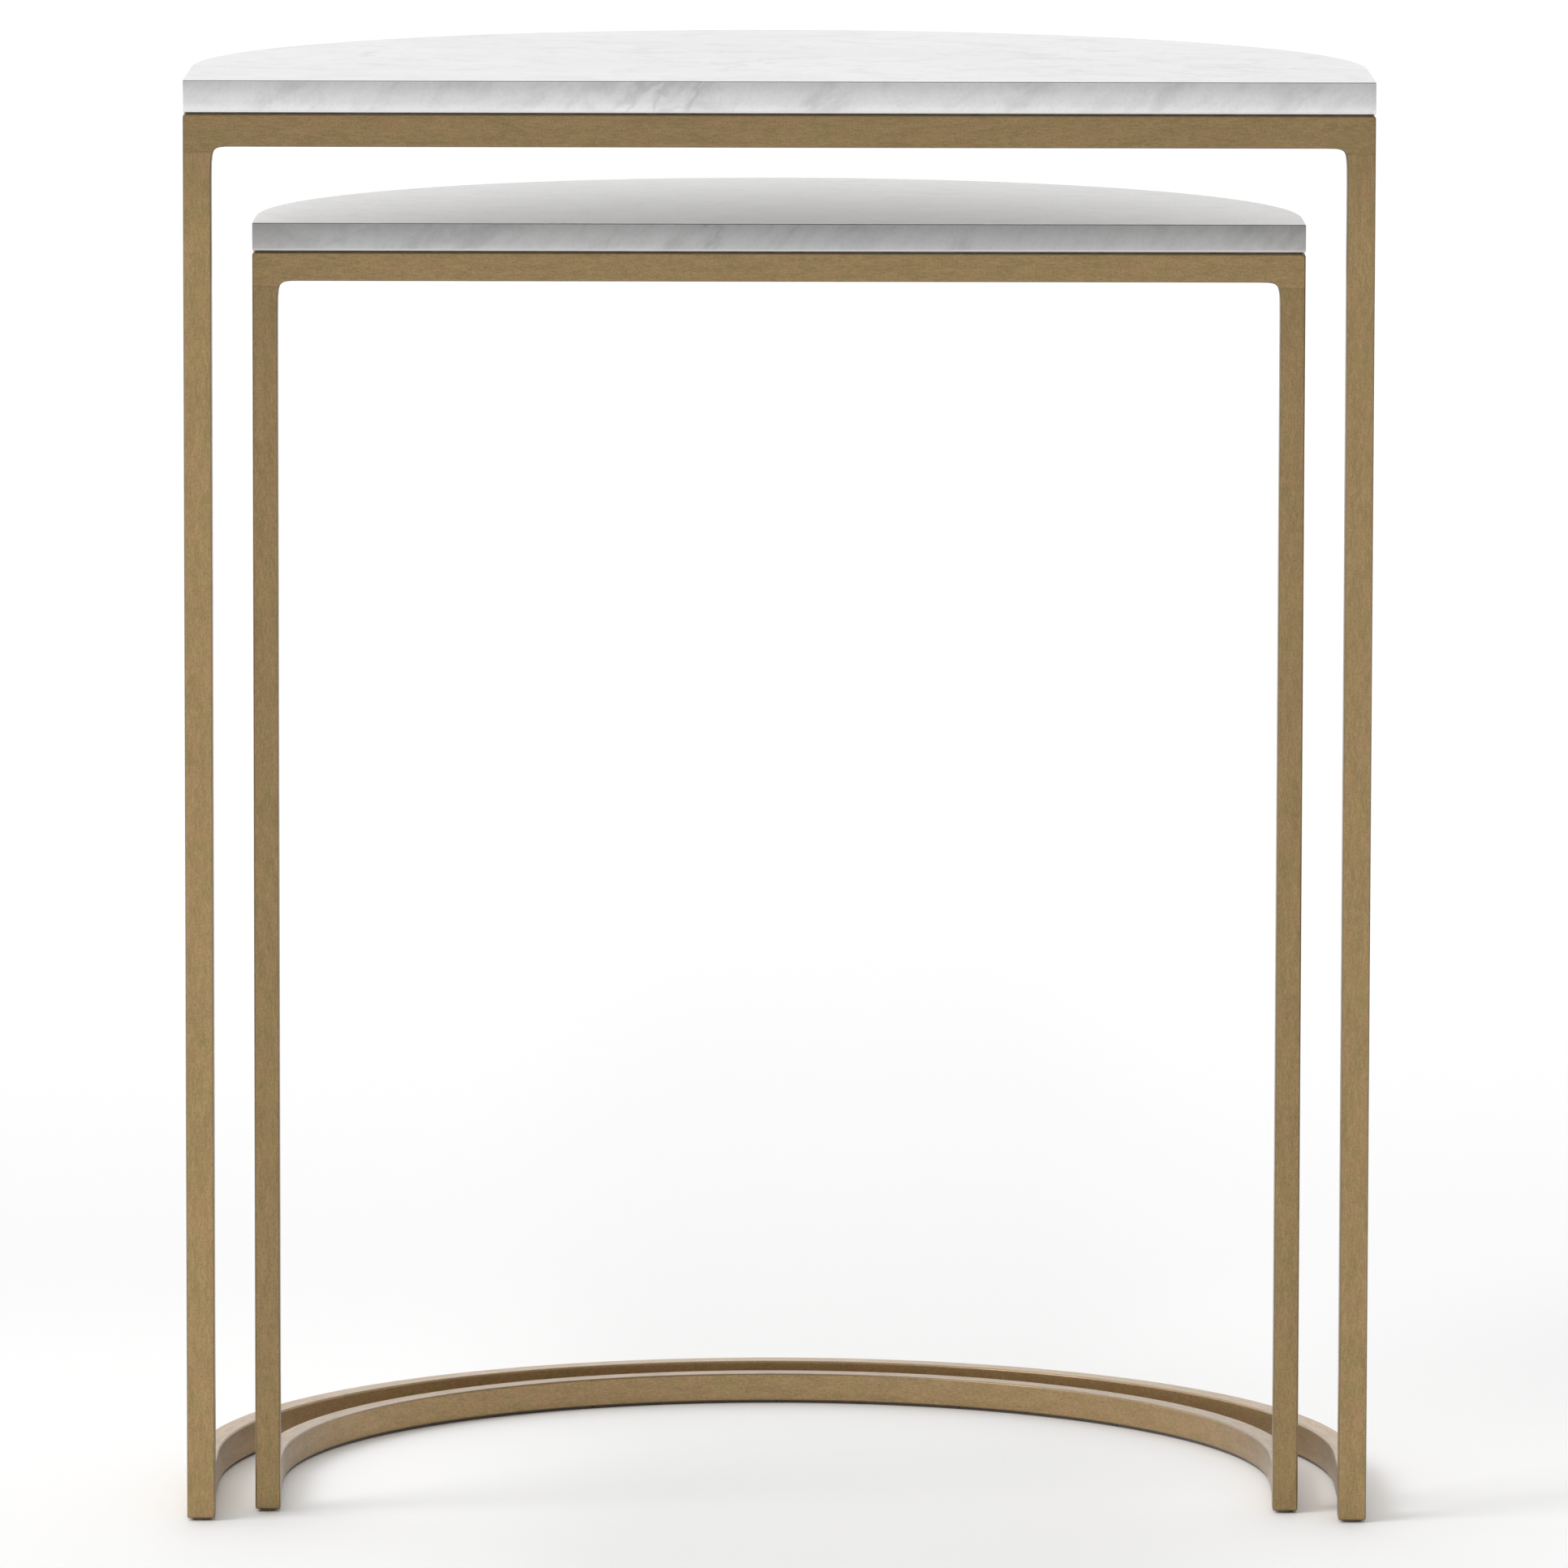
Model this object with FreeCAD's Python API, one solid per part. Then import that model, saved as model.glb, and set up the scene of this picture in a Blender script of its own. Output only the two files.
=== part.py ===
import FreeCAD, Part
import math
import os

# A nest of two half-moon side tables. Each has a marble slab on a frame of hollow square tube: a front rail
# on two front legs, a curved rail under the slab's round edge, and a curved base that lies along the floor
# behind the legs and is open at the front. The small table stands inside the large one, and its base reaches
# further back than its slab.
#
# Millimetres. +X to the right, +Y to the back, +Z up. The origin is on the floor, under the middle of the
# large table, which encloses the small one.

# Driving dimensions of the two tables
TABLES = {
    "large": {
        "width": 560.0,             # slab, along its straight front edge
        "height": 685.0,            # floor to the slab's upper face
        "set_back": 0.0,            # front edge, behind the large table's front edge
        "slab_thickness": 15.0,
        "slab_straight_side": 98.0,     # from the front edge to the start of the half-circle
        "base_straight_side": 98.0,
        "leg_width": 13.2,          # both sides of a leg, and the rails across
        "rail_height": 15.4,
        "base_width": 11.2,
        "base_height": 15.8,
    },
    "small": {
        "width": 497.0,
        "height": 616.0,
        "set_back": 25.5,
        "slab_thickness": 13.0,
        "slab_straight_side": 43.0,
        "base_straight_side": 76.5,
        "leg_width": 11.9,
        "rail_height": 13.6,
        "base_width": 10.6,
        "base_height": 13.8,
    },
}

# Frame tube, the same in both tables
TUBE_WALL = 1.5
BASE_TUBE_WALL = 2.0
TUBE_EDGE_RADIUS = 0.9              # front rail and legs
CURVED_EDGE_RADIUS = 1.0            # rear rail and base
RAIL_END_RADIUS = 1.5               # upper outer corners of the front rail
LEG_END_RADIUS = 1.0                # lower corners of a leg
CORNER_ALONG_RAIL = 10.0            # inner corner of leg and rail: a soft curve of this length on the rail
CORNER_DOWN_LEG = 17.0              # and this length on the leg
RAIL_SHOULDER = 2.6                 # the rail's ends reach this far below it, down to the weld on the leg
VENT_DIAMETER = 5.0                 # plating vent, from the front rail's inside into each leg

# Slab
SLAB_EDGE_RADIUS = 0.5

# Long pads that hold the slab off the rails
PAD_HEIGHT = 0.8
PAD_MARGIN = 1.4                    # to the sides of the rails

# Slab fixings: welded tab, screw from below, threaded insert glued into the slab
TAB_LENGTH = 18.0
TAB_WIDTH = 20.0
TAB_THICKNESS = 2.0
TAB_HOLE_DIAMETER = 5.6
TAB_HOLE_FROM_RAIL = 10.0
TAB_CORNER_RADIUS = 3.0
TAB_BELOW_FRAME_TOP = 1.5
TAB_FRONT_SPREAD = 0.5              # front tabs, as a share of the frame's half width
TAB_REAR_ANGLES = (-45.0, 45.0)
SCREW_DIAMETER = 4.8
SCREW_LENGTH = 9.5                  # under the head
SCREW_HEAD_DIAMETER = 9.0
SCREW_HEAD_HEIGHT = 2.8
SCREW_HEAD_EDGE_RADIUS = 1.0
SCREW_SOCKET_ACROSS_FLATS = 3.0
SCREW_SOCKET_DEPTH = 1.6
INSERT_DIAMETER = 8.0
INSERT_LENGTH = 8.0
INSERT_BORE_DIAMETER = 5.0
INSERT_HOLE_DIAMETER = 8.4
INSERT_HOLE_DEPTH = 9.0

# Glides in the legs
GLIDE_HEIGHT = 1.2
GLIDE_MARGIN = 1.8                  # to the sides of the leg
GLIDE_EDGE_RADIUS = 0.4
LEG_PLUG_LENGTH = 12.0
LEG_PLUG_CLEARANCE = 0.15           # to the leg's inner walls, each side
LEG_PLUG_TIP_CHAMFER = 1.0

# Felt strips glued under the base, as thick as the glides are high
STRIP_MARGIN = 1.2                  # to the sides of the base

# Felt strips and long pads are cut to these lengths
CURVED_STRIP_COUNT = 8              # in equal lengths round the half-circle
STRIP_GAP_DEGREES = 0.15

# Cutting tools run this far past the faces that they cut through
PAST = 1.0

# Two places this close are the same
TOLERANCE = 1e-6

FRONT_Y = -(TABLES["large"]["slab_straight_side"] + TABLES["large"]["width"] / 2) / 2
ORIGIN = FreeCAD.Vector(0, 0, 0)
UP = FreeCAD.Vector(0, 0, 1)
BACK = FreeCAD.Vector(0, 1, 0)


def quarter_arc(start, corner, end):
    """A quarter circle from start to end that rounds off a square corner."""
    centre = start + end - corner
    middle = centre + (corner - centre) / math.sqrt(2)
    return Part.Arc(start, middle, end).toShape()


def soft_corner(start, corner, end):
    """A cubic from start to end that runs out slowly along both sides and turns tightly near the corner."""
    curve = Part.BezierCurve()
    curve.setPoles([start, corner, corner, end])
    return curve.toShape()


def rounded_outline(corners):
    """A closed wire of straight sides. Each corner is (point, trim before, trim after): a quarter circle
    joins the sides where the two trims are equal, and a soft corner where they differ."""
    edges = []
    count = len(corners)
    ends = []
    for index, (point, trim_in, trim_out) in enumerate(corners):
        before = corners[index - 1][0]
        after = corners[(index + 1) % count][0]
        start = point + (before - point).normalize() * trim_in
        end = point + (after - point).normalize() * trim_out
        ends.append((start, end))
        join = quarter_arc if trim_in == trim_out else soft_corner
        edges.append(join(start, point, end))
    for index in range(count):
        edges.append(Part.makeLine(ends[index - 1][1], ends[index][0]))
    return Part.Wire(Part.__sortEdges__(edges))


def half_moon(radius, front_y, centre_y, low, high):
    """A solid with straight sides from front_y to centre_y and a half-circle behind them."""
    front_left = FreeCAD.Vector(-radius, front_y, low)
    front_right = FreeCAD.Vector(radius, front_y, low)
    side_right = FreeCAD.Vector(radius, centre_y, low)
    side_left = FreeCAD.Vector(-radius, centre_y, low)
    rear = FreeCAD.Vector(0, centre_y + radius, low)
    outline = Part.Wire([
        Part.makeLine(front_left, front_right),
        Part.makeLine(front_right, side_right),
        Part.Arc(side_right, rear, side_left).toShape(),
        Part.makeLine(side_left, front_left),
    ])
    return Part.Face(outline).extrude(UP * (high - low))


def lies_in(edge, axis, value):
    """True if both ends of the edge are at this value of x, y or z."""
    return all(abs(getattr(vertex.Point, axis) - value) < TOLERANCE for vertex in edge.Vertexes)


def rod(diameter, length, base, direction=UP):
    return Part.makeCylinder(diameter / 2, length, base, direction)


def round_end(shape, radius, height):
    """Rounds the full circle that the shape has at this height."""
    rims = [edge for edge in shape.Edges if edge.Closed and lies_in(edge, "z", height)]
    return shape.makeFillet(radius, rims)


class Table:
    """The places that a table's pieces share. The frame is flush with the slab's edges."""

    def __init__(self, sizes):
        self.leg_width = sizes["leg_width"]
        self.rail_height = sizes["rail_height"]
        self.base_width = sizes["base_width"]
        self.base_height = sizes["base_height"]
        self.radius = sizes["width"] / 2
        self.front = FRONT_Y + sizes["set_back"]
        self.slab_centre_y = self.front + sizes["slab_straight_side"]
        self.base_centre_y = self.front + sizes["base_straight_side"]
        self.slab_top = sizes["height"]
        self.slab_under = self.slab_top - sizes["slab_thickness"]
        self.behind_front = self.front + self.leg_width
        self.frame_top = self.slab_under - PAD_HEIGHT
        self.rail_under = self.frame_top - self.rail_height
        self.weld_height = self.rail_under - RAIL_SHOULDER
        self.leg_middle_x = self.radius - self.leg_width / 2
        self.leg_middle_y = self.front + self.leg_width / 2
        self.leg_bore = self.leg_width - 2 * TUBE_WALL
        self.tab_top = self.frame_top - TAB_BELOW_FRAME_TOP

    def on_rear_rail(self, degrees, inward, height):
        """A point over the rear rail, at an angle from the middle of the back, this far inside the rail's
        outer face."""
        angle = math.radians(degrees)
        reach = self.radius - inward
        return FreeCAD.Vector(reach * math.sin(angle), self.slab_centre_y + reach * math.cos(angle), height)

    def fixing_places(self):
        """Each slab fixing: the middle of its tab's root at floor level, and how far it is turned about
        the vertical from pointing back."""
        places = []
        for side in (-1, 1):
            root = FreeCAD.Vector(side * TAB_FRONT_SPREAD * self.radius, self.behind_front, 0)
            places.append((root, 0.0))
        inner_radius = self.radius - self.leg_width
        root_reach = math.sqrt(inner_radius ** 2 - (TAB_WIDTH / 2) ** 2)
        for degrees in TAB_REAR_ANGLES:
            root = self.on_rear_rail(degrees, self.radius - root_reach, 0)
            places.append((root, 180.0 - degrees))
        return places

    def at_fixings(self, piece, height):
        """A copy of the piece at every slab fixing. The piece is modelled about the middle of a tab's root,
        with +Y along the tab."""
        copies = []
        for root, turn in self.fixing_places():
            copies.append(piece.rotated(ORIGIN, UP, turn).translated(root + UP * height))
        return copies


def marble_top(table):
    slab = half_moon(
        table.radius, table.front, table.slab_centre_y, table.slab_under, table.slab_top,
    )
    arrises = [
        edge for edge in slab.Edges
        if lies_in(edge, "z", table.slab_under) or lies_in(edge, "z", table.slab_top)
        or lies_in(edge, "y", table.front)
    ]
    slab = slab.makeFillet(SLAB_EDGE_RADIUS, arrises)
    hole = rod(INSERT_HOLE_DIAMETER, INSERT_HOLE_DEPTH + PAST, FreeCAD.Vector(0, TAB_HOLE_FROM_RAIL, -PAST))
    return slab.cut(table.at_fixings(hole, table.slab_under))


def front_arch(table):
    """The front rail and both legs in one, as a solid bar, with the rounded edges that run right round."""
    outer = table.radius
    inner = table.radius - table.leg_width
    corners = [
        (-outer, GLIDE_HEIGHT, LEG_END_RADIUS, LEG_END_RADIUS),
        (-inner, GLIDE_HEIGHT, LEG_END_RADIUS, LEG_END_RADIUS),
        (-inner, table.rail_under, CORNER_DOWN_LEG, CORNER_ALONG_RAIL),
        (inner, table.rail_under, CORNER_ALONG_RAIL, CORNER_DOWN_LEG),
        (inner, GLIDE_HEIGHT, LEG_END_RADIUS, LEG_END_RADIUS),
        (outer, GLIDE_HEIGHT, LEG_END_RADIUS, LEG_END_RADIUS),
        (outer, table.frame_top, RAIL_END_RADIUS, RAIL_END_RADIUS),
        (-outer, table.frame_top, RAIL_END_RADIUS, RAIL_END_RADIUS),
    ]
    outline = rounded_outline([
        (FreeCAD.Vector(x, table.front, z), trim_in, trim_out) for x, z, trim_in, trim_out in corners
    ])
    arch = Part.Face(outline).extrude(BACK * table.leg_width)
    rims = [
        edge for edge in arch.Edges
        if lies_in(edge, "y", table.front) or lies_in(edge, "y", table.behind_front)
    ]
    return arch.makeFillet(TUBE_EDGE_RADIUS, rims)


def front_rail(table):
    width = 2 * table.radius
    above_weld = Part.makeBox(
        width + 2 * PAST, table.leg_width + 2 * PAST, table.frame_top - table.weld_height + PAST,
        FreeCAD.Vector(-table.radius - PAST, table.front - PAST, table.weld_height),
    )
    inside = Part.makeBox(
        width - 2 * TUBE_WALL, table.leg_width - 2 * TUBE_WALL, table.rail_height - 2 * TUBE_WALL,
        FreeCAD.Vector(-table.radius, table.front, table.rail_under)
        + FreeCAD.Vector(TUBE_WALL, TUBE_WALL, TUBE_WALL),
    )
    rail = front_arch(table).common(above_weld).cut(inside)
    for side in (-1, 1):
        vent_base = FreeCAD.Vector(side * table.leg_middle_x, table.leg_middle_y, table.weld_height - PAST)
        rail = rail.cut(rod(VENT_DIAMETER, RAIL_SHOULDER + TUBE_WALL + 2 * PAST, vent_base))
    return rail


def leg(table, side):
    """The left leg if side is -1, and the right one if it is 1."""
    reach = table.leg_width / 2 + CORNER_ALONG_RAIL
    length = table.weld_height - GLIDE_HEIGHT
    below_weld = Part.makeBox(
        2 * reach, table.leg_width + 2 * PAST, length + PAST,
        FreeCAD.Vector(side * table.leg_middle_x - reach, table.front - PAST, GLIDE_HEIGHT - PAST),
    )
    inside = Part.makeBox(
        table.leg_bore, table.leg_bore, length + 2 * PAST,
        FreeCAD.Vector(side * table.leg_middle_x, table.leg_middle_y, GLIDE_HEIGHT - PAST)
        - FreeCAD.Vector(table.leg_bore / 2, table.leg_bore / 2, 0),
    )
    return front_arch(table).common(below_weld).cut(inside)


def curved_bar(radius, start, centre_y, width, low, high):
    """A bar along two straight sides and the half-circle that joins them at the back."""
    outside = half_moon(radius, start, centre_y, low, high)
    return outside.cut(half_moon(radius - width, start - PAST, centre_y, low - PAST, high + PAST))


def curved_tube(table, centre_y, width, wall, low, high):
    """A tube from behind the front rail or the legs, round the back. Its two ends are open, and are welded
    to what is in front of them."""
    start = table.behind_front
    bar = curved_bar(table.radius, start, centre_y, width, low, high)
    long_edges = [
        edge for edge in bar.Edges
        if (lies_in(edge, "z", low) or lies_in(edge, "z", high)) and not lies_in(edge, "y", start)
    ]
    bar = bar.makeFillet(CURVED_EDGE_RADIUS, long_edges)
    inside = curved_bar(
        table.radius - wall, start - PAST, centre_y, width - 2 * wall, low + wall, high - wall,
    )
    return bar.cut(inside)


def rear_rail(table):
    return curved_tube(
        table, table.slab_centre_y, table.leg_width, TUBE_WALL, table.rail_under, table.frame_top,
    )


def base_ring(table):
    return curved_tube(
        table, table.base_centre_y, table.base_width, BASE_TUBE_WALL, GLIDE_HEIGHT,
        GLIDE_HEIGHT + table.base_height,
    )


def fixing_tabs(table):
    half = TAB_WIDTH / 2
    tab = Part.makeBox(TAB_WIDTH, TAB_LENGTH, TAB_THICKNESS, FreeCAD.Vector(-half, 0, -TAB_THICKNESS))
    tip_corners = [
        edge for edge in tab.Edges
        if lies_in(edge, "y", TAB_LENGTH) and (lies_in(edge, "x", -half) or lies_in(edge, "x", half))
    ]
    tab = tab.makeFillet(TAB_CORNER_RADIUS, tip_corners)
    hole_base = FreeCAD.Vector(0, TAB_HOLE_FROM_RAIL, -TAB_THICKNESS - PAST)
    tab = tab.cut(rod(TAB_HOLE_DIAMETER, TAB_THICKNESS + 2 * PAST, hole_base))
    return Part.makeCompound(table.at_fixings(tab, table.tab_top))


def top_screws(table):
    """Button-head screws, driven up from under the tabs with a hexagon key."""
    axis_foot = FreeCAD.Vector(0, TAB_HOLE_FROM_RAIL, -SCREW_HEAD_HEIGHT)
    head = rod(SCREW_HEAD_DIAMETER, SCREW_HEAD_HEIGHT, axis_foot)
    head = round_end(head, SCREW_HEAD_EDGE_RADIUS, axis_foot.z)
    shank = rod(SCREW_DIAMETER, SCREW_HEAD_HEIGHT + SCREW_LENGTH, axis_foot)
    corner_reach = SCREW_SOCKET_ACROSS_FLATS / math.sqrt(3)
    hexagon = []
    for index in range(7):
        angle = math.radians(60 * index)
        corner = FreeCAD.Vector(corner_reach * math.cos(angle), corner_reach * math.sin(angle), -PAST)
        hexagon.append(axis_foot + corner)
    socket = Part.Face(Part.makePolygon(hexagon)).extrude(UP * (SCREW_SOCKET_DEPTH + PAST))
    screw = head.fuse(shank).removeSplitter().cut(socket)
    return Part.makeCompound(table.at_fixings(screw, table.tab_top - TAB_THICKNESS))


def threaded_inserts(table):
    axis_foot = FreeCAD.Vector(0, TAB_HOLE_FROM_RAIL, 0)
    insert = rod(INSERT_DIAMETER, INSERT_LENGTH, axis_foot)
    insert = insert.cut(rod(INSERT_BORE_DIAMETER, INSERT_LENGTH + 2 * PAST, axis_foot - UP * PAST))
    return Part.makeCompound(table.at_fixings(insert, table.slab_under))


def curved_strips(table, centre_y, tube_width, margin, low, thickness):
    """Strips end to end along a curved tube's upper or lower face: one along each straight side, and short
    arcs round the half-circle."""
    outer = table.radius - margin
    inner = table.radius - tube_width + margin
    middle = FreeCAD.Vector(0, centre_y, low)
    start = table.behind_front + margin
    strips = []
    for left in (-outer, inner):
        corner = FreeCAD.Vector(left, start, low)
        strips.append(Part.makeBox(outer - inner, centre_y - start, thickness, corner))
    pitch = 180.0 / CURVED_STRIP_COUNT
    for index in range(CURVED_STRIP_COUNT):
        sector = Part.makeCylinder(outer, thickness, middle, UP, pitch - STRIP_GAP_DEGREES)
        strip = sector.cut(Part.makeCylinder(inner, thickness, middle, UP))
        strips.append(strip.rotated(middle, UP, index * pitch + STRIP_GAP_DEGREES / 2))
    return strips


def top_pads(table):
    """Long thin pads on the front rail and round the rear rail, with the slab on them."""
    left = -table.radius + PAD_MARGIN
    front_pad = Part.makeBox(
        -2 * left, table.leg_width - 2 * PAD_MARGIN, PAD_HEIGHT,
        FreeCAD.Vector(left, table.front + PAD_MARGIN, table.frame_top),
    )
    rear_pads = curved_strips(
        table, table.slab_centre_y, table.leg_width, PAD_MARGIN, table.frame_top, PAD_HEIGHT,
    )
    return Part.makeCompound([front_pad, *rear_pads])


def leg_glides(table):
    """Plastic glides, pushed into the legs' open lower ends."""
    side = table.leg_bore - 2 * LEG_PLUG_CLEARANCE
    foot_diameter = table.leg_width - 2 * GLIDE_MARGIN
    plug_top = GLIDE_HEIGHT + LEG_PLUG_LENGTH
    glides = []
    for centre_x in (-table.leg_middle_x, table.leg_middle_x):
        centre = FreeCAD.Vector(centre_x, table.leg_middle_y, 0)
        plug = Part.makeBox(
            side, side, LEG_PLUG_LENGTH, centre + FreeCAD.Vector(-side / 2, -side / 2, GLIDE_HEIGHT),
        )
        tip = [edge for edge in plug.Edges if lies_in(edge, "z", plug_top)]
        plug = plug.makeChamfer(LEG_PLUG_TIP_CHAMFER, tip)
        foot = round_end(rod(foot_diameter, GLIDE_HEIGHT, centre), GLIDE_EDGE_RADIUS, 0.0)
        glides.append(foot.fuse(plug))
    return Part.makeCompound(glides)


def felt_strips(table):
    """Strips of felt under the base, which lift it off the floor."""
    return Part.makeCompound(
        curved_strips(table, table.base_centre_y, table.base_width, STRIP_MARGIN, 0.0, GLIDE_HEIGHT),
    )


def pieces(table):
    """Every piece of one table, by name."""
    return {
        "marble_top": marble_top(table),
        "front_rail": front_rail(table),
        "leg_left": leg(table, -1),
        "leg_right": leg(table, 1),
        "rear_rail": rear_rail(table),
        "base_ring": base_ring(table),
        "fixing_tabs": fixing_tabs(table),
        "top_screws": top_screws(table),
        "threaded_inserts": threaded_inserts(table),
        "top_pads": top_pads(table),
        "leg_glides": leg_glides(table),
        "felt_strips": felt_strips(table),
    }


os.makedirs("parts", exist_ok=True)
for table_name, sizes in TABLES.items():
    for piece_name, shape in pieces(Table(sizes)).items():
        shape.exportStep(f"parts/{table_name}_{piece_name}.step")
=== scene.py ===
import math

import bpy
from mathutils import Euler, Matrix, Vector


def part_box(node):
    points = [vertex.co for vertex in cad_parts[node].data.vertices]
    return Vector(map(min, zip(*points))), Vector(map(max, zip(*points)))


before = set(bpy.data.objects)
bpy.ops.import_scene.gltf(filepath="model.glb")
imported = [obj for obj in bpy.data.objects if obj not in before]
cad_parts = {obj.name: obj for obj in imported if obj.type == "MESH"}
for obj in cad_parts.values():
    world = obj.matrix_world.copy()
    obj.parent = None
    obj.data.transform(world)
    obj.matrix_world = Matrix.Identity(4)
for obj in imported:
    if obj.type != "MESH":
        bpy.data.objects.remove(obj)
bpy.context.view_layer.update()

# Two half-moon nesting tables with marble tops on brushed brass frames. The CAD nodes keep their shapes, and
# get procedural materials here. Metres, in the frame of the CAD model.

TABLES = ("large", "small")

# Camera: a long lens, a little above the tops, almost square to the straight front edges
CAMERA_PLACE = (-0.01062, -6.45728, 1.11177)
CAMERA_YAW = 0.00214
CAMERA_PITCH = 0.12044
CAMERA_ROLL = 0.00207
CAMERA_LENS = 307.18
CAMERA_SENSOR = 36.0
CAMERA_REACH = 200.0

# Light: a plain studio that is brightest behind the tables, a key from the left, and a very broad soft light
# from above, behind and to the left. Each lamp is its direction, its strength and the angle that it spans.
FRONT_GLOW = 0.45
BACK_GLOW = 1.38
TOP_GLOW = 0.62
LEFT_GLOW = 1.14
RIGHT_GLOW = 0.76
GLOW_BEHIND = (-0.5, 0.6)                   # direction's Y, from all front glow to all back glow
GLOW_ABOVE = (0.25, 0.95)                   # direction's Z, from no top glow to all of it
LAMPS = {
    "key": ((-0.75, -0.36, 0.70), 0.94, math.radians(27)),
    "soft": ((-0.28, 0.45, 1.0), 0.61, math.radians(75)),
}

# Floor: white, with painted shade: a little darker near the camera and between the feet than behind and
# beside the tables
FLOOR_SIZE = 80.0
FLOOR_NEAR = 0.84
FLOOR_FAR = 0.98
FLOOR_NEAR_Y = -0.6
FLOOR_FAR_Y = 3.4
FLOOR_MIDDLE_X = 0.04
FLOOR_SIDES_X = (0.08, 0.24)
FLOOR_SIDES = 1.13
FLOOR_SIDES_FAR = 1.03
FLOOR_SIDES_Y = (-0.05, 0.70)

FLOOR_MOTTLE = 0.02
FLOOR_MOTTLE_GREY = 0.8
FLOOR_ROUGHNESS = 0.7

# A face is flat where the largest part of its normal is above the first value, and an edge where it is below
# the second
FLAT_FACE = 0.965
EDGE_FACE = FLAT_FACE - 0.06

# Noise is given as its scale and detail, then its roughness and distortion where they aren't the usual ones.
# The marble's figure slants: the noise is turned by SLANT_TURN and drawn out by SLANT_STRETCH.
SLANT_TURN = (0.25, 0.80, math.radians(24))
SLANT_STRETCH = (1.0, 1.6, 2.2)
MARBLE_NOISE = {
    "clouds": (14.0, 5.0, 0.55, 0.3),
    "smudge": (62.0, 6.0, 0.60, 0.4),
    "streak": (150.0, 6.0, 0.6, 0.2),
    "wander": (16.0, 4.0, 0.6),
    "vein": (24.0, 4.0, 0.5),
    "patch": (9.0, 3.0),
    "grain": (700.0, 3.0, 0.6),
    "gloss": (60.0, 4.0),
}
MARBLE_WHITE = (0.77, 0.77, 0.77, 1)
MARBLE_CLOUD = (0.73, 0.73, 0.735, 1)
SMUDGE_GREY = (0.42, 0.42, 0.43, 1)
STREAK_GREY = (0.48, 0.48, 0.49, 1)
VEIN_GREY = (0.30, 0.30, 0.315, 1)
VEIN_WANDER = 0.06
VEIN_HALF_WIDTH = 0.03                      # in values of the noise
GRAIN_GREY = 0.45
GRAIN_SHARE = 0.12
# Painted shade along the upper arris of the marble slabs
ARRIS_SHADE_GREY = 0.16
ARRIS_SHADE_SHARE = 0.95
UPPER_SIDE_SHADE = 0.75                           # painted shade: factor on a slab's side at the upper arris
LOWER_SIDE_LIGHT = 1.22                           # painted light: the factor at the lower one
ROUND_SIDE_SHADE = 0.80                           # painted shade: the factor on the part that faces back
LOWER_LIGHT_BAND = (0.0006, 0.0014)               # painted light, a warm band above the lower arris, from full to none: heights above the underside
LOWER_LIGHT_BAND_COLOUR = (0.86, 0.83, 0.78, 1)
LOWER_LIGHT_BAND_SHARE = 0.60
MARBLE_BUMP = (0.00002, 0.10)               # distance and strength
MARBLE_IOR = 1.5
ROUGHNESS_SPREAD = 0.006

GRAIN_STRETCH = (1.0, 5.0, 5.0)             # the noise is finer across the brushing
TINT_SHIFT = (5.0, 2.0, 8.0)                # keeps the tint apart from the clouds
BRASS_NOISE = {
    "fine": (300.0, 4.0, 0.6),
    "coarse": (60.0, 4.0, 0.6),
    "speck": (1100.0, 2.0, 0.5),
    "clouds": (30.0, 4.0, 0.6),
    "tint": (110.0, 3.0, 0.6),
}
BRASS_LIGHT = (0.475, 0.320, 0.147, 1)
BRASS_DEEP = (0.430, 0.291, 0.132, 1)
# Layers over the brass: the noise, the values where it starts and is full, the share when full, the colour
BRASS_LAYERS = (
    ("tint", 0.50, 0.70, 0.8, (0.480, 0.286, 0.152, 1)),
    ("tint", 0.50, 0.30, 0.8, (0.395, 0.305, 0.118, 1)),
    ("coarse", 0.40, 0.62, 0.45, (0.34, 0.250, 0.110, 1)),
    ("fine", 0.42, 0.62, 0.50, (0.58, 0.405, 0.200, 1)),
    ("speck", 0.48, 0.66, 0.45, (0.28, 0.195, 0.09, 1)),
)
# Painted shade on the rounded edges of the brass
BRASS_EDGE_SHADE = (0.20, 0.170, 0.125, 1)
BRASS_EDGE_SHADE_SHARE = 0.60
BRASS_ROUGHNESS = (0.34, 0.42)
BRASS_BUMP = (0.00002, 0.35)
BRASS_METALLIC = 0.8
BRASS_SPECULAR_TINT = (0.75, 0.82, 0.95, 1.0)
LACQUER_WEIGHT = 0.12
LACQUER_ROUGHNESS = 0.35
WELD_HALF_WIDTH = 0.0009
WELD_TONE = 0.88
# Length down a leg, from its top, of the painted shade under the rail
LEG_TOP_LENGTH = 0.05
CURVED_CAST = (1.03, 1.02, 1.08)

# Tone factors of each table's pieces, which paint light and shade into the colour. They are set for the
# front view, and aren't measured finishes.
TONES = {
    "large": {
        "slab": 0.88, "sides": 1.25, "rail": 0.75, "leg_left": 0.96, "leg_right": 0.90, "leg_tops_shade": 0.86,
        "ring": 1.04,
    },
    "small": {
        "slab": 0.80, "sides": 0.90, "rail": 0.84, "leg_left": 0.83, "leg_right": 0.83, "leg_tops_shade": 0.92,
        "ring": 0.90,
    },
}
TOP_CLOUDS = {"large": 1.0, "small": 0.5}           # strength of the figure on the polished face
SIDE_SHADE_DRIFT = {"large": 0.03, "small": 0.06}         # painted light and shade: sides lighter at the left and darker at the right
ROUGHNESS = {"large": 0.35, "small": 0.215}         # of the slabs
VEIN_SHIFTS = {"large": (3.1, 1.7, 0.4), "small": (7.9, 4.3, 2.6)}


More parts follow.
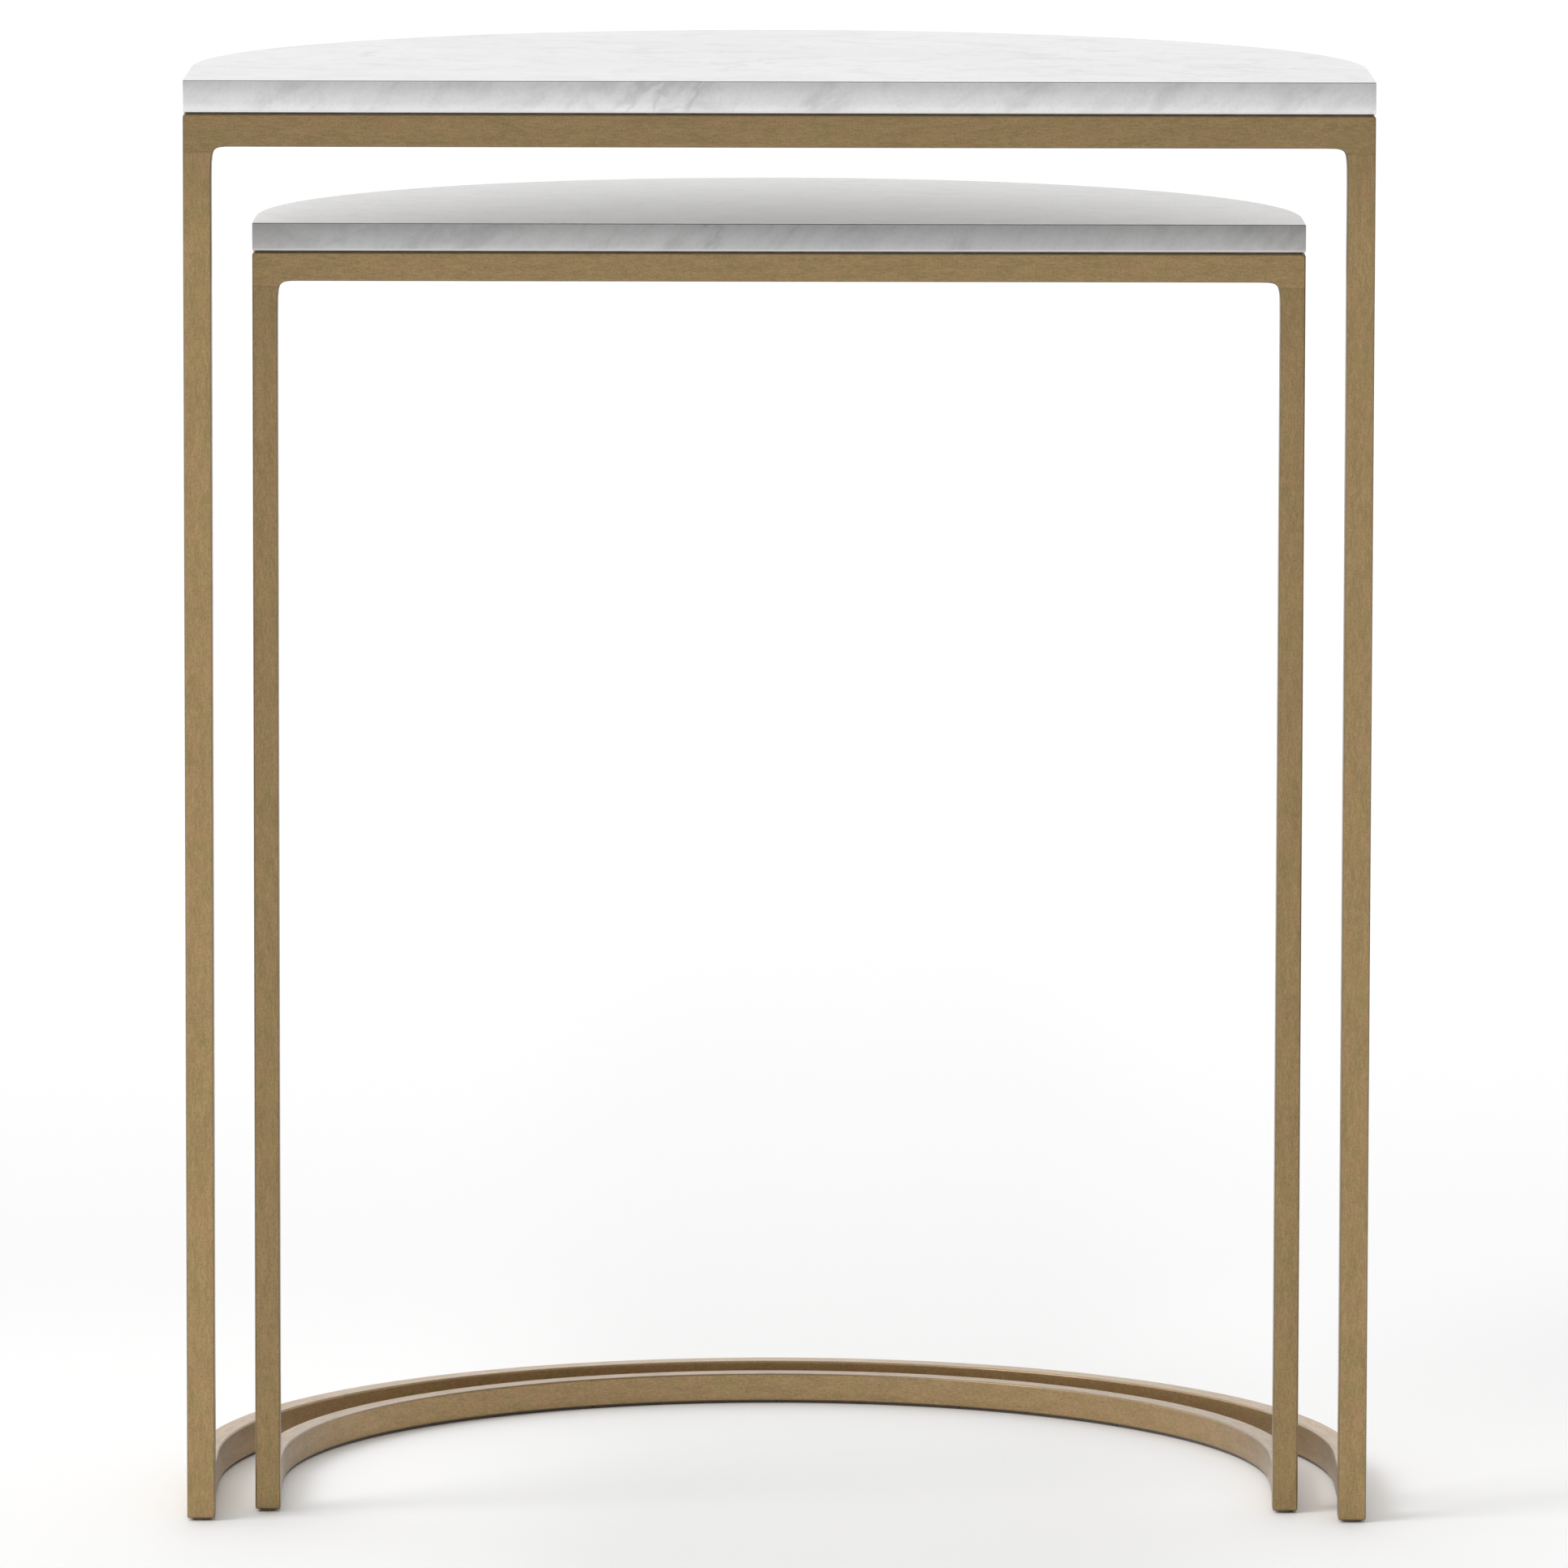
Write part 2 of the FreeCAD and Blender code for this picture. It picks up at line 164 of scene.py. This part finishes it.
class Shader:
    """A node tree under construction, with short calls for the nodes that it needs."""

    def __init__(self, tree):
        self.tree = tree

    def node(self, kind, inputs=None, **settings):
        node = self.tree.nodes.new(kind)
        for name, value in settings.items():
            setattr(node, name, value)
        for name, value in (inputs or {}).items():
            self.feed(node.inputs[name], value)
        return node

    def feed(self, socket, value):
        if isinstance(value, bpy.types.NodeSocket):
            self.tree.links.new(value, socket)
        else:
            socket.default_value = value

    def math(self, operation, *values):
        node = self.node("ShaderNodeMath", operation=operation)
        for index, value in enumerate(values):
            self.feed(node.inputs[index], value)
        return node.outputs[0]

    def vector(self, operation, *values):
        node = self.node("ShaderNodeVectorMath", operation=operation)
        for index, value in enumerate(values):
            self.feed(node.inputs[index], value)
        return node.outputs["Value" if operation == "LENGTH" else "Vector"]

    def join(self, x, y, z):
        return self.node("ShaderNodeCombineXYZ", {"X": x, "Y": y, "Z": z}).outputs[0]

    def split(self, vector):
        return self.node("ShaderNodeSeparateXYZ", {"Vector": vector}).outputs

    def noise(self, vector, scale, detail=4.0, roughness=0.5, distortion=0.0):
        return self.node("ShaderNodeTexNoise", {
            "Vector": vector, "Scale": scale, "Detail": detail, "Roughness": roughness,
            "Distortion": distortion,
        }).outputs["Fac"]

    def ramp(self, value, low, high, to_low=0.0, to_high=1.0):
        return self.node("ShaderNodeMapRange", {
            "Value": value, "From Min": low, "From Max": high, "To Min": to_low, "To Max": to_high,
        }, interpolation_type="SMOOTHSTEP").outputs[0]

    def blend(self, share, first, second):
        node = self.node("ShaderNodeMix", data_type="RGBA")
        for index, value in ((0, share), (6, first), (7, second)):
            self.feed(node.inputs[index], value)
        return node.outputs[2]

    def scale(self, colour, factor):
        """The colour times a number."""
        return self.vector("MULTIPLY", colour, self.join(factor, factor, factor))

    def bump(self, height, distance, strength):
        return self.node("ShaderNodeBump", {
            "Height": height, "Distance": distance, "Strength": strength,
        }).outputs[0]

    def place(self):
        return self.node("ShaderNodeTexCoord").outputs["Object"]

    def normal(self):
        return self.node("ShaderNodeNewGeometry").outputs["Normal"]


class Material(Shader):
    """A material around one principled surface."""

    def __init__(self, name):
        self.material = bpy.data.materials.new(name)
        self.material.use_nodes = True
        super().__init__(self.material.node_tree)
        self.surface = next(node for node in self.tree.nodes if node.type == "BSDF_PRINCIPLED")

    def finish(self, **inputs):
        for name, value in inputs.items():
            self.feed(self.surface.inputs[name.replace("_", " ")], value)
        return self.material


def grey(value):
    return (value, value, value, 1.0)


def edge_mask(shader, curved=False):
    """One on the rounded edges, and zero on the flat or evenly curved faces between them."""
    x, y, z = (shader.math("ABSOLUTE", part) for part in shader.split(shader.normal()))
    if curved:
        level = shader.vector("LENGTH", shader.join(x, y, 0.0))
    else:
        level = shader.math("MAXIMUM", x, y)
    return shader.ramp(shader.math("MAXIMUM", level, z), FLAT_FACE, EDGE_FACE)


def marble(name, node, shift, tone, side_shade, shade_drift, top_clouds, roughness):
    """White marble: faint clouds, soft grey smudges that slant down the sides, and a few thin veins. The
    sawn
    sides carry painted light and shade: lighter towards the lower arris and the left, with a warm band just
    above the lower arris, darker towards the upper arris, the right and the back, and dark along the upper
    arris. top_clouds is the strength of the smudges on the polished face."""
    shader = Material(name)
    low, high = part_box(node)
    here = shader.place()
    place = shader.vector("ADD", here, shift)
    slant = shader.node("ShaderNodeMapping", {
        "Vector": place, "Rotation": SLANT_TURN, "Scale": SLANT_STRETCH,
    }, vector_type="TEXTURE").outputs[0]
    clouds = shader.noise(slant, *MARBLE_NOISE["clouds"])
    smudge = shader.noise(slant, *MARBLE_NOISE["smudge"])
    streak = shader.noise(slant, *MARBLE_NOISE["streak"])
    wander = shader.math("MULTIPLY", shader.noise(place, *MARBLE_NOISE["wander"]), VEIN_WANDER)
    vein_place = shader.vector("ADD", slant, shader.join(wander, 0.0, 0.0))
    vein = shader.math("SUBTRACT", shader.noise(vein_place, *MARBLE_NOISE["vein"]), 0.5)
    vein = shader.math("ABSOLUTE", vein)
    vein = shader.ramp(vein, 0.0, VEIN_HALF_WIDTH, 1.0, 0.0)
    patch = shader.ramp(shader.noise(place, *MARBLE_NOISE["patch"]), 0.46, 0.66)
    vein = shader.math("MULTIPLY", vein, patch)
    grain = shader.noise(place, *MARBLE_NOISE["grain"])
    facing = shader.split(shader.normal())
    side = shader.ramp(shader.math("ABSOLUTE", facing["Z"]), 0.75, 0.45)
    colour = shader.blend(shader.ramp(clouds, 0.35, 0.70), MARBLE_WHITE, MARBLE_CLOUD)
    # Each mark, its strength on the polished face and on the sides, and its colour
    figure = (
        (shader.ramp(smudge, 0.46, 0.74), 0.30, 0.48, SMUDGE_GREY),
        (shader.ramp(streak, 0.45, 0.75), 0.16, 0.20, STREAK_GREY),
        (vein, 0.28, 0.34, VEIN_GREY),
    )
    for mark, on_top, on_sides, stain in figure:
        strength = shader.ramp(side, 0.0, 1.0, on_top * top_clouds, on_sides)
        colour = shader.blend(shader.math("MULTIPLY", mark, strength), colour, stain)
    colour = shader.blend(shader.ramp(grain, 0.40, 0.65, 0.0, GRAIN_SHARE), colour, grey(GRAIN_GREY))
    height = shader.node("ShaderNodeMapRange", {
        "Value": shader.split(here)["Z"], "From Min": low.z, "From Max": high.z,
    }).outputs[0]
    # Painted light and shade on the sides: darker towards the upper arris, lighter towards the lower one and
    # the left, darker towards the right and on the part that faces back
    upper = shader.ramp(height, 0.30, 1.0, side_shade, side_shade * UPPER_SIDE_SHADE)
    lower = shader.ramp(height, 0.40, 0.0, 1.0, LOWER_SIDE_LIGHT)
    shade = shader.math("MULTIPLY", upper, lower)
    across = shader.ramp(shader.split(here)["X"], low.x, high.x, 1.0 + shade_drift, 1.0 - shade_drift)
    shade = shader.math("MULTIPLY", shade, across)
    shade = shader.math("MULTIPLY", shade, shader.ramp(facing["Y"], 0.0, 0.7, 1.0, ROUND_SIDE_SHADE))
    shade = shader.math("ADD", 1.0, shader.math("MULTIPLY", side, shader.math("SUBTRACT", shade, 1.0)))
    colour = shader.scale(colour, shader.math("MULTIPLY", shade, tone))
    # Painted shade along the upper arris
    upper_arris_shade = shader.ramp(height, 0.2, 0.8, 0.0, ARRIS_SHADE_SHARE)
    edge = shader.math("MULTIPLY", edge_mask(shader, curved=True), upper_arris_shade)
    colour = shader.blend(edge, colour, grey(ARRIS_SHADE_GREY))
    # Painted light: a warm band just above the lower arris
    band_full, band_end = (low.z + above for above in LOWER_LIGHT_BAND)
    bottom = shader.ramp(shader.split(here)["Z"], band_full, band_end, LOWER_LIGHT_BAND_SHARE, 0.0)
    colour = shader.blend(bottom, colour, LOWER_LIGHT_BAND_COLOUR)
    smooth, rough = roughness - ROUGHNESS_SPREAD, roughness + ROUGHNESS_SPREAD
    gloss = shader.ramp(shader.noise(place, *MARBLE_NOISE["gloss"]), 0.3, 0.7, smooth, rough)
    normal = shader.bump(grain, *MARBLE_BUMP)
    shader.surface.inputs["IOR"].default_value = MARBLE_IOR
    return shader.finish(Base_Color=colour, Roughness=gloss, Normal=normal)


def brushed_place(shader, along, radius, centre_y):
    """Coordinates with X along the grain of the brushing, and Y and Z across it. Along a curved tube the
    grain follows the straight sides and the round back."""
    x, y, z = shader.split(shader.place())
    if along == "x":
        return shader.join(x, y, z)
    if along == "z":
        return shader.join(z, x, y)
    behind = shader.math("SUBTRACT", y, centre_y)
    round_part = shader.math("MAXIMUM", behind, 0.0)
    straight_part = shader.math("MINIMUM", behind, 0.0)
    reach = shader.vector("LENGTH", shader.join(x, round_part, 0.0))
    turn = shader.math("ARCTAN2", x, round_part)
    run = shader.math("MULTIPLY", turn, radius)
    run = shader.math("SUBTRACT", run, shader.math("MULTIPLY", shader.math("SIGN", x), straight_part))
    return shader.join(run, reach, z)


def brass(name, along, tone, seam=0.0, top_shade=1.0, radius=0.0, centre_y=0.0, cast=(1.0, 1.0, 1.0)):
    """Antique brass plating over tube, brushed along the tube, with soft pink and olive clouds and painted
    shade on the edges. The plating is a little darker at the weld, at the height of the seam, and, as
    painted shade, the top factor times as bright there as further down a leg. The cast multiplies the
    colour."""
    shader = Material(name)
    place = brushed_place(shader, along, radius, centre_y)
    stretched = shader.vector("MULTIPLY", place, GRAIN_STRETCH)
    places = {
        "fine": stretched,
        "coarse": stretched,
        "speck": shader.place(),
        "clouds": shader.place(),
        "tint": shader.vector("ADD", shader.place(), TINT_SHIFT),
    }
    noises = {pattern: shader.noise(places[pattern], *values) for pattern, values in BRASS_NOISE.items()}
    colour = shader.blend(shader.ramp(noises["clouds"], 0.3, 0.7), BRASS_LIGHT, BRASS_DEEP)
    for pattern, start, full, share, layer in BRASS_LAYERS:
        colour = shader.blend(shader.ramp(noises[pattern], start, full, 0.0, share), colour, layer)
    # Painted shade on the rounded edges
    edge = edge_mask(shader, along == "curve")
    colour = shader.blend(shader.math("MULTIPLY", edge, BRASS_EDGE_SHADE_SHARE), colour, BRASS_EDGE_SHADE)
    shade = shader.node("ShaderNodeValue").outputs[0]
    shade.default_value = tone
    if seam:
        up = shader.split(shader.place())["Z"]
        off_seam = shader.math("ABSOLUTE", shader.math("SUBTRACT", up, seam))
        weld = shader.ramp(off_seam, 0.0, WELD_HALF_WIDTH, WELD_TONE, 1.0)
        # Painted shade: the top of a leg is darker, under the rail
        level = shader.ramp(up, seam - LEG_TOP_LENGTH, seam, tone, tone * top_shade)
        shade = shader.math("MULTIPLY", weld, level)
    colour = shader.scale(shader.vector("MULTIPLY", colour, cast), shade)
    roughness = shader.ramp(noises["coarse"], 0.3, 0.7, *BRASS_ROUGHNESS)
    normal = shader.bump(noises["fine"], *BRASS_BUMP)
    shader.surface.inputs["Metallic"].default_value = BRASS_METALLIC
    shader.surface.inputs["Specular Tint"].default_value = BRASS_SPECULAR_TINT
    shader.surface.inputs["Coat Weight"].default_value = LACQUER_WEIGHT
    shader.surface.inputs["Coat Roughness"].default_value = LACQUER_ROUGHNESS
    return shader.finish(Base_Color=colour, Roughness=roughness, Normal=normal)


def turned_metal(name, colour, dark, roughness):
    """Small turned or plated metal pieces, with light tool marks and a dull bloom."""
    shader = Material(name)
    place = shader.place()
    marks = shader.noise(shader.vector("MULTIPLY", place, (1.0, 1.0, 12.0)), 900.0, 3.0, 0.6)
    bloom = shader.noise(place, 300.0, 4.0, 0.6)
    shade = shader.blend(shader.ramp(bloom, 0.35, 0.7), colour, dark)
    rough = shader.ramp(marks, 0.3, 0.7, roughness - 0.06, roughness + 0.08)
    shader.surface.inputs["Metallic"].default_value = 1.0
    return shader.finish(Base_Color=shade, Roughness=rough, Normal=shader.bump(marks, 0.00003, 0.4))


def plastic(name, colour, dark, roughness):
    """Moulded plastic or silicone, with a fine spark-eroded texture and slight scuffs."""
    shader = Material(name)
    place = shader.place()
    pebble = shader.noise(place, 1800.0, 3.0, 0.6)
    scuff = shader.noise(place, 180.0, 4.0, 0.6)
    shade = shader.blend(shader.ramp(scuff, 0.35, 0.7), colour, dark)
    rough = shader.ramp(scuff, 0.3, 0.7, roughness - 0.08, roughness + 0.08)
    return shader.finish(Base_Color=shade, Roughness=rough, Normal=shader.bump(pebble, 0.00003, 0.4))


def felt(name, colour, pale):
    """Pressed wool felt: short tangled fibres, pale ends here and there, and a soft sheen."""
    shader = Material(name)
    place = shader.place()
    tangle = shader.noise(place, 1400.0, 5.0, 0.7, 2.5)
    tufts = shader.noise(place, 350.0, 4.0, 0.6, 1.0)
    shade = shader.blend(shader.ramp(tangle, 0.45, 0.75, 0.0, 0.5), colour, pale)
    shade = shader.scale(shade, shader.ramp(tufts, 0.3, 0.7, 0.75, 1.1))
    rough = shader.ramp(tufts, 0.3, 0.7, 0.85, 0.98)
    shader.surface.inputs["Sheen Weight"].default_value = 0.25
    shader.surface.inputs["Sheen Roughness"].default_value = 0.6
    return shader.finish(Base_Color=shade, Roughness=rough, Normal=shader.bump(tangle, 0.0002, 0.8))


def dress(node, material):
    """Gives a CAD node one material all over."""
    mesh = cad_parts[node].data
    mesh.materials.clear()
    mesh.materials.append(material)


def curved_brass(node, tone):
    """Brass whose grain follows a half-round tube, a little pinker than on the straight ones."""
    low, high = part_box(node)
    radius = high.x
    centre_y = high.y - radius
    return brass(f"brass_{node}", "curve", tone, radius=radius, centre_y=centre_y, cast=CURVED_CAST)


def dress_tables():
    zinc = turned_metal("zinc_plate", (0.55, 0.55, 0.56, 1), (0.42, 0.42, 0.43, 1), 0.38)
    turned_brass = turned_metal("turned_brass", (0.66, 0.48, 0.22, 1), (0.50, 0.36, 0.16, 1), 0.32)
    # Painted shade: the pads are dark, so that they also stand in for the shadow in the gap under the slab
    silicone = plastic("dark_silicone_and_gap_shade", (0.18, 0.150, 0.115, 1), (0.12, 0.100, 0.078, 1), 0.6)
    nylon = plastic("brown_nylon", (0.24, 0.18, 0.13, 1), (0.17, 0.13, 0.095, 1), 0.5)
    # Painted shade: the felt is dark, so that it also stands in for the contact shadow under the base ring
    wool = felt("brown_felt", (0.10, 0.078, 0.058, 1), (0.17, 0.135, 0.105, 1))
    for table in TABLES:
        tones = TONES[table]
        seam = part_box(f"{table}_leg_left")[1].z
        rail = brass(f"brass_{table}_front_rail", "x", tones["rail"], seam)
        legs = {
            leg: brass(f"brass_{table}_{leg}", "z", tones[leg], seam, tones["leg_tops_shade"])
            for leg in ("leg_left", "leg_right")
        }
        slab = marble(
            f"marble_{table}", f"{table}_marble_top", VEIN_SHIFTS[table], tones["slab"], tones["sides"],
            SIDE_SHADE_DRIFT[table], TOP_CLOUDS[table], ROUGHNESS[table],
        )
        materials = {
            "marble_top": slab,
            "front_rail": rail,
            **legs,
            "rear_rail": curved_brass(f"{table}_rear_rail", tones["rail"]),
            "base_ring": curved_brass(f"{table}_base_ring", tones["ring"]),
            "fixing_tabs": rail,
            "top_screws": zinc,
            "threaded_inserts": turned_brass,
            "top_pads": silicone,
            "leg_glides": nylon,
            "felt_strips": wool,
        }
        for piece, material in materials.items():
            dress(f"{table}_{piece}", material)


def make_floor():
    half = FLOOR_SIZE / 2
    mesh = bpy.data.meshes.new("floor")
    corners = [(-half, -half, 0), (half, -half, 0), (half, half, 0), (-half, half, 0)]
    mesh.from_pydata(corners, [], [(0, 1, 2, 3)])
    floor = bpy.data.objects.new("floor", mesh)
    bpy.context.scene.collection.objects.link(floor)
    shader = Material("floor_white")
    place = shader.place()
    mottle = shader.noise(place, 40.0, 4.0, 0.6)
    # Painted shade: darker near the camera and between the feet, lighter beside and behind the tables
    away = shader.ramp(shader.split(place)["Y"], FLOOR_NEAR_Y, FLOOR_FAR_Y)
    colour = shader.blend(away, grey(FLOOR_NEAR), grey(FLOOR_FAR))
    beside = shader.math("ABSOLUTE", shader.math("SUBTRACT", shader.split(place)["X"], FLOOR_MIDDLE_X))
    sides = shader.ramp(shader.split(place)["Y"], *FLOOR_SIDES_Y, FLOOR_SIDES, FLOOR_SIDES_FAR)
    colour = shader.scale(colour, shader.ramp(beside, *FLOOR_SIDES_X, 1.0, sides))
    colour = shader.blend(shader.ramp(mottle, 0.3, 0.7, 0.0, FLOOR_MOTTLE), colour, grey(FLOOR_MOTTLE_GREY))
    mesh.materials.append(shader.finish(Base_Color=colour, Roughness=FLOOR_ROUGHNESS))


def make_light():
    world = bpy.data.worlds.new("studio")
    bpy.context.scene.world = world
    world.use_nodes = True
    shader = Shader(world.node_tree)
    direction = shader.split(shader.node("ShaderNodeTexCoord").outputs["Generated"])
    around = shader.ramp(direction["Y"], *GLOW_BEHIND, FRONT_GLOW, BACK_GLOW)
    above = shader.ramp(direction["Z"], *GLOW_ABOVE)
    change = shader.math("MULTIPLY", above, shader.math("SUBTRACT", TOP_GLOW, around))
    glow = shader.math("ADD", around, change)
    glow = shader.math("MULTIPLY", glow, shader.ramp(direction["X"], -1.0, 1.0, LEFT_GLOW, RIGHT_GLOW))
    background = world.node_tree.nodes["Background"]
    shader.feed(background.inputs["Strength"], glow)
    background.inputs["Color"].default_value = grey(1.0)
    for name, (from_where, strength, spread) in LAMPS.items():
        data = bpy.data.lights.new(name, "SUN")
        data.energy = strength
        data.angle = spread
        lamp = bpy.data.objects.new(name, data)
        lamp.rotation_euler = Vector(from_where).to_track_quat("Z", "Y").to_euler()
        bpy.context.scene.collection.objects.link(lamp)


def make_camera():
    data = bpy.data.cameras.new("camera")
    data.lens = CAMERA_LENS
    data.sensor_width = CAMERA_SENSOR
    data.clip_end = CAMERA_REACH
    camera = bpy.data.objects.new("camera", data)
    aim = Euler((math.pi / 2 - CAMERA_PITCH, 0.0, -CAMERA_YAW)).to_matrix()
    turn = (aim @ Matrix.Rotation(CAMERA_ROLL, 3, "Z")).to_4x4()
    camera.matrix_world = Matrix.Translation(CAMERA_PLACE) @ turn
    bpy.context.scene.collection.objects.link(camera)
    bpy.context.scene.camera = camera


bpy.context.scene.view_settings.view_transform = "Standard"
dress_tables()
make_floor()
make_light()
make_camera()
